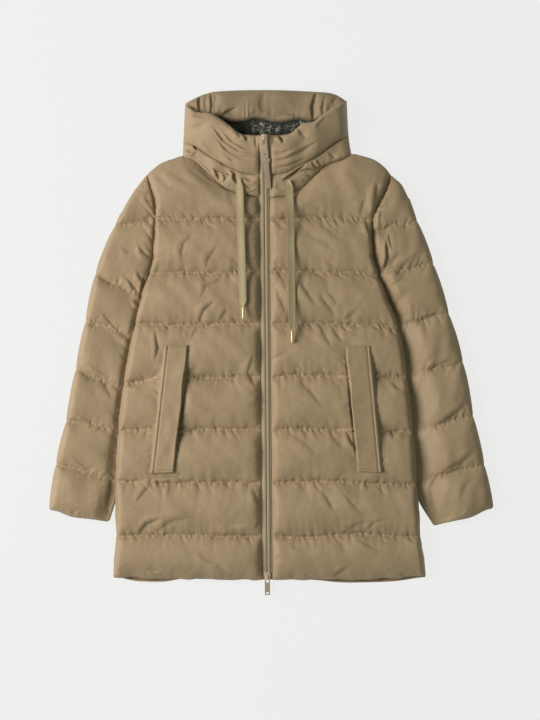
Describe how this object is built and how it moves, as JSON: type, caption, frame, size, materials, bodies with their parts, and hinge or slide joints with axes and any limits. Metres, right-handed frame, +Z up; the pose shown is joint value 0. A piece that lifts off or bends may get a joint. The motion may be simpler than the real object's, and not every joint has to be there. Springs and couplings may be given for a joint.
{
  "type": "hooded puffer jacket laid flat",
  "caption": "Zipped, quilted, padded jacket with a hood, laid flat on its back with its sleeves at its sides, welt pockets and drawcords.",
  "frame": {"origin": "on the surface the jacket lies on, under the middle of the jacket's outline, with the drawcords left out", "axes": "+X to the right as the front is looked at, +Y from the hem to the hood, +Z up from the surface"},
  "size_m": [0.78, 0.8876, 0.0683],
  "materials": {
    "shell": "smooth matt woven shell with a slight sheen, padded and quilted",
    "pile": "deep curly pile",
    "zip_tape": "fine woven tape",
    "zip_metal": "satin rose metal",
    "grip": "soft satin",
    "cord": "flat woven cord",
    "cord_tip": "polished"
  },
  "bodies": {
    "jacket": {"back_panel": "shell", "front_left": "shell", "front_right": "shell", "sleeve_left_front": "shell", "sleeve_left_back": "shell", "sleeve_right_front": "shell", "sleeve_right_back": "shell", "hood_back": "shell", "hood_inner_facing": "shell", "hood_pile_lining": "pile", "hood_front_left": "shell", "hood_front_right": "shell", "under_collar_left": "shell", "under_collar_right": "shell", "pocket_welt_left": "shell", "pocket_welt_right": "shell", "zip_tape_left": "zip_tape", "zip_tape_right": "zip_tape", "slider_upper": "zip_metal", "slider_lower": "zip_metal", "drawcord_left": "cord", "drawcord_right": "cord", "cord_tip_left": "cord_tip", "cord_tip_right": "cord_tip"},
    "upper_pull": {"pull_upper_tab": "zip_metal", "pull_upper_grip": "grip"},
    "lower_pull": {"pull_lower_tab": "zip_metal"}
  },
  "joints": [
    {"name": "upper_pull_hinge", "type": "hinge", "parent": "jacket", "child": "upper_pull", "pos_m": [-0.01272, 0.353, 0.06531], "axis": [-1, 0, 0], "range_deg": [0, 170]},
    {"name": "lower_pull_hinge", "type": "hinge", "parent": "jacket", "child": "lower_pull", "pos_m": [-0.00682, -0.413, 0.0151], "axis": [-1, 0, 0], "range_deg": [0, 180]}
  ]
}
